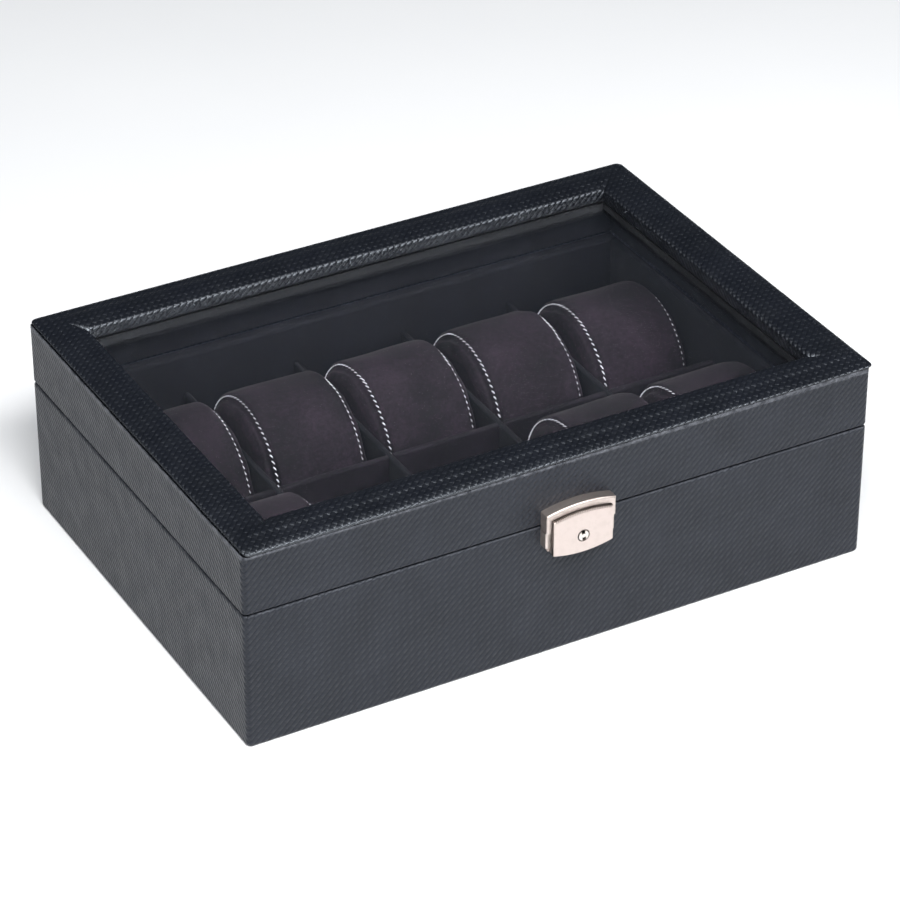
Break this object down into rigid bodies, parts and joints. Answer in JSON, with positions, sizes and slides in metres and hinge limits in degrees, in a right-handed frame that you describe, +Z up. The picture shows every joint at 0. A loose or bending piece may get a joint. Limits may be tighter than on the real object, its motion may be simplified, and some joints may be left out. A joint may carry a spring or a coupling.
{
  "type": "watch box",
  "caption": "Leatherette-wrapped watch box with a hinged glass lid, a keyed slide lock and suede compartments with removable cushions.",
  "frame": {"origin": "centre of the underside, on the surface that the box stands on", "axes": "+Z up, -Y towards the front with the lock, +X to the right along the length, hinges at +Y"},
  "size_m": [0.31, 0.2281, 0.099],
  "materials": {
    "leatherette": "embossed carbon-weave leatherette, satin",
    "padded_leatherette": "embossed carbon-weave leatherette over padding, semi-gloss",
    "felt": "matt felt",
    "board": "raw fibreboard",
    "suede_lining": "brushed faux suede",
    "bead_wrap": "smooth leatherette wrap",
    "cushion_suede": "brushed faux suede with light contrast stitching",
    "glass": "clear float glass",
    "hinge_metal": "satin nickel-plated steel",
    "nickel_plate": "satin nickel",
    "nickel": "satin nickel",
    "spring_steel": "bright wire",
    "rivet": "plain"
  },
  "bodies": {
    "base": {"base_cover": "leatherette", "base_felt": "felt", "base_floor_board": "board", "base_wall_back": "board", "base_wall_front": "board", "base_wall_left": "board", "base_wall_right": "board", "cross_divider_1": "suede_lining", "cross_divider_2": "suede_lining", "cross_divider_3": "suede_lining", "cross_divider_4": "suede_lining", "floor_pad": "suede_lining", "hinge_left_base_leaf": "hinge_metal", "hinge_pins": "hinge_metal", "hinge_right_base_leaf": "hinge_metal", "hinge_screws_base": "hinge_metal", "lining_back": "suede_lining", "lining_front": "suede_lining", "lining_left": "suede_lining", "lining_right": "suede_lining", "lock_back_plate": "nickel", "lock_rivets_base": "rivet", "lock_springs": "spring_steel", "row_divider": "suede_lining"},
    "lid": {"glass_bead_back": "bead_wrap", "glass_bead_front": "bead_wrap", "glass_bead_left": "bead_wrap", "glass_bead_right": "bead_wrap", "glass_pane": "glass", "hinge_left_lid_leaf": "hinge_metal", "hinge_right_lid_leaf": "hinge_metal", "hinge_screws_lid": "hinge_metal", "lid_cover": "leatherette", "lid_lining": "suede_lining", "lid_pad_back": "padded_leatherette", "lid_pad_front": "padded_leatherette", "lid_pad_left": "padded_leatherette", "lid_pad_right": "padded_leatherette", "lid_rail_back": "board", "lid_rail_front": "board", "lid_rail_left": "board", "lid_rail_right": "board", "lid_wall_back": "board", "lid_wall_front": "board", "lid_wall_left": "board", "lid_wall_right": "board", "lock_hood": "nickel", "lock_rivets_lid": "rivet"},
    "lock_slider": {"lock_slide": "nickel", "lock_face_plate": "nickel_plate"},
    "lock_cylinder": {"lock_barrel": "nickel", "lock_cam": "nickel"},
    "cushion_front_1_body": {"cushion_front_1": "cushion_suede"},
    "cushion_front_4_body": {"cushion_front_4": "cushion_suede"},
    "cushion_front_5_body": {"cushion_front_5": "cushion_suede"},
    "cushion_rear_1_body": {"cushion_rear_1": "cushion_suede"},
    "cushion_rear_2_body": {"cushion_rear_2": "cushion_suede"},
    "cushion_rear_3_body": {"cushion_rear_3": "cushion_suede"},
    "cushion_rear_4_body": {"cushion_rear_4": "cushion_suede"},
    "cushion_rear_5_body": {"cushion_rear_5": "cushion_suede"}
  },
  "joints": [
    {"name": "lid_hinge", "type": "hinge", "parent": "base", "child": "lid", "pos_m": [0, 0.1104, 0.0673], "axis": [-1, 0, 0], "range_deg": [0, 95]},
    {"name": "lock_slide_down", "type": "slide", "parent": "base", "child": "lock_slider", "axis": [0, 0, -1], "range_m": [0, 0.0025], "stiffness_N_per_m": 500, "springref_m": -0.003},
    {"name": "key_turn", "type": "hinge", "parent": "lock_slider", "child": "lock_cylinder", "pos_m": [0.0038, -0.1153, 0.0613], "axis": [0, 1, 0], "range_deg": [0, 90]},
    {"name": "lift_cushion_front_1", "type": "slide", "parent": "base", "child": "cushion_front_1_body", "axis": [0, 0, 1], "range_m": [0, 0.015]},
    {"name": "lift_cushion_front_4", "type": "slide", "parent": "base", "child": "cushion_front_4_body", "axis": [0, 0, 1], "range_m": [0, 0.015]},
    {"name": "lift_cushion_front_5", "type": "slide", "parent": "base", "child": "cushion_front_5_body", "axis": [0, 0, 1], "range_m": [0, 0.015]},
    {"name": "lift_cushion_rear_1", "type": "slide", "parent": "base", "child": "cushion_rear_1_body", "axis": [0, 0, 1], "range_m": [0, 0.015]},
    {"name": "lift_cushion_rear_2", "type": "slide", "parent": "base", "child": "cushion_rear_2_body", "axis": [0, 0, 1], "range_m": [0, 0.015]},
    {"name": "lift_cushion_rear_3", "type": "slide", "parent": "base", "child": "cushion_rear_3_body", "axis": [0, 0, 1], "range_m": [0, 0.015]},
    {"name": "lift_cushion_rear_4", "type": "slide", "parent": "base", "child": "cushion_rear_4_body", "axis": [0, 0, 1], "range_m": [0, 0.015]},
    {"name": "lift_cushion_rear_5", "type": "slide", "parent": "base", "child": "cushion_rear_5_body", "axis": [0, 0, 1], "range_m": [0, 0.015]}
  ]
}
